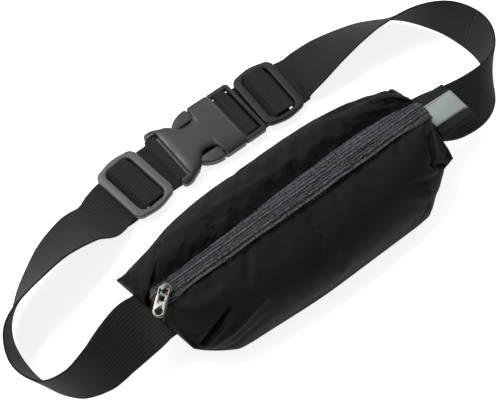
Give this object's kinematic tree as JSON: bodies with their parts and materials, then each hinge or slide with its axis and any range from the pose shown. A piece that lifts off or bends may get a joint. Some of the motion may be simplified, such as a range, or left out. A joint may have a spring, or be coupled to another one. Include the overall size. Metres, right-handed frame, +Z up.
{
  "type": "waist pack",
  "caption": "Slim zipped waist pack with a stuffed soft pouch, a webbing belt with sliding adjusters, a side-release buckle and a reflective tab.",
  "frame": {"origin": "middle of the whole pack's footprint, on the surface that its back panel and belt lie on", "axes": "+X along the pouch towards the end with the reflective tab, +Y from the pouch to the buckle, +Z up out of the pouch's front"},
  "size_m": [0.4022, 0.169, 0.0549],
  "materials": {
    "pouch_fabric": "fine woven stretch fabric, matt",
    "binding_tape": "narrow woven tape",
    "zip_film": "knitted tape with a glossy water-repellent film",
    "zip_coil": "nylon coil",
    "zip_metal": "nickel plated, lightly brushed",
    "adjuster_plastic": "moulded acetal, fine satin",
    "buckle_plastic": "moulded acetal, fine satin",
    "webbing": "ribbed polypropylene webbing",
    "tab_ribbon": "flat woven ribbon",
    "reflective_film": "silver-grey glass-bead reflective film"
  },
  "bodies": {
    "pouch": {"back_panel": "pouch_fabric", "upper_panel": "pouch_fabric", "lower_panel": "pouch_fabric", "left_end_binding": "binding_tape", "right_end_binding": "binding_tape", "zip_tape_upper": "zip_film", "zip_tape_lower": "zip_film", "zip_coil_upper": "zip_coil", "zip_coil_lower": "zip_coil", "zip_closed_end_stop": "zip_metal", "zip_open_end_stop": "zip_metal", "left_strap": "webbing", "right_strap": "webbing", "buckle_female": "buckle_plastic", "reflective_tab": "tab_ribbon", "reflective_stripe": "reflective_film"},
    "slider": {"zip_slider": "zip_metal"},
    "pull": {"zip_pull": "zip_metal"},
    "male": {"buckle_male": "buckle_plastic"},
    "prong_front": {"buckle_prong_front": "buckle_plastic"},
    "prong_back": {"buckle_prong_back": "buckle_plastic"},
    "left_adjuster": {"left_adjuster": "adjuster_plastic"},
    "right_adjuster": {"right_adjuster": "adjuster_plastic"}
  },
  "joints": [
    {"name": "zip_travel", "type": "slide", "parent": "pouch", "child": "slider", "axis": [1, 0, 0], "range_m": [0, 0.2]},
    {"name": "pull_swing", "type": "hinge", "parent": "slider", "child": "pull", "pos_m": [-0.1025, -0.036, 0.05315], "axis": [0.6428, -0.766, 0], "range_deg": [-150, 0]},
    {"name": "buckle_release", "type": "slide", "parent": "pouch", "child": "male", "axis": [1, 0, 0], "range_m": [0, 0.04], "deforming": ["right_strap", "buckle_prong_front", "buckle_prong_back"]},
    {"name": "prong_front_squeeze", "type": "hinge", "parent": "male", "child": "prong_front", "pos_m": [0.0187, 0.0425, 0.0068], "axis": [0, 0, -1], "range_deg": [0, 8], "stiffness_Nm_per_rad": 0.02},
    {"name": "prong_back_squeeze", "type": "hinge", "parent": "male", "child": "prong_back", "pos_m": [0.0187, 0.0765, 0.0068], "axis": [0, 0, 1], "range_deg": [0, 8], "stiffness_Nm_per_rad": 0.02},
    {"name": "left_adjuster_travel", "type": "slide", "parent": "pouch", "child": "left_adjuster", "axis": [-0.9936, -0.1132, 0], "range_m": [-0.006, 0.03], "deforming": ["left_strap"]},
    {"name": "right_adjuster_travel", "type": "slide", "parent": "male", "child": "right_adjuster", "axis": [0.9986, -0.0523, 0], "range_m": [0, 0.03], "deforming": ["right_strap"]}
  ],
  "couplings": [
    {"joint": "prong_back_squeeze", "follows": "prong_front_squeeze", "ratio": 1}
  ]
}
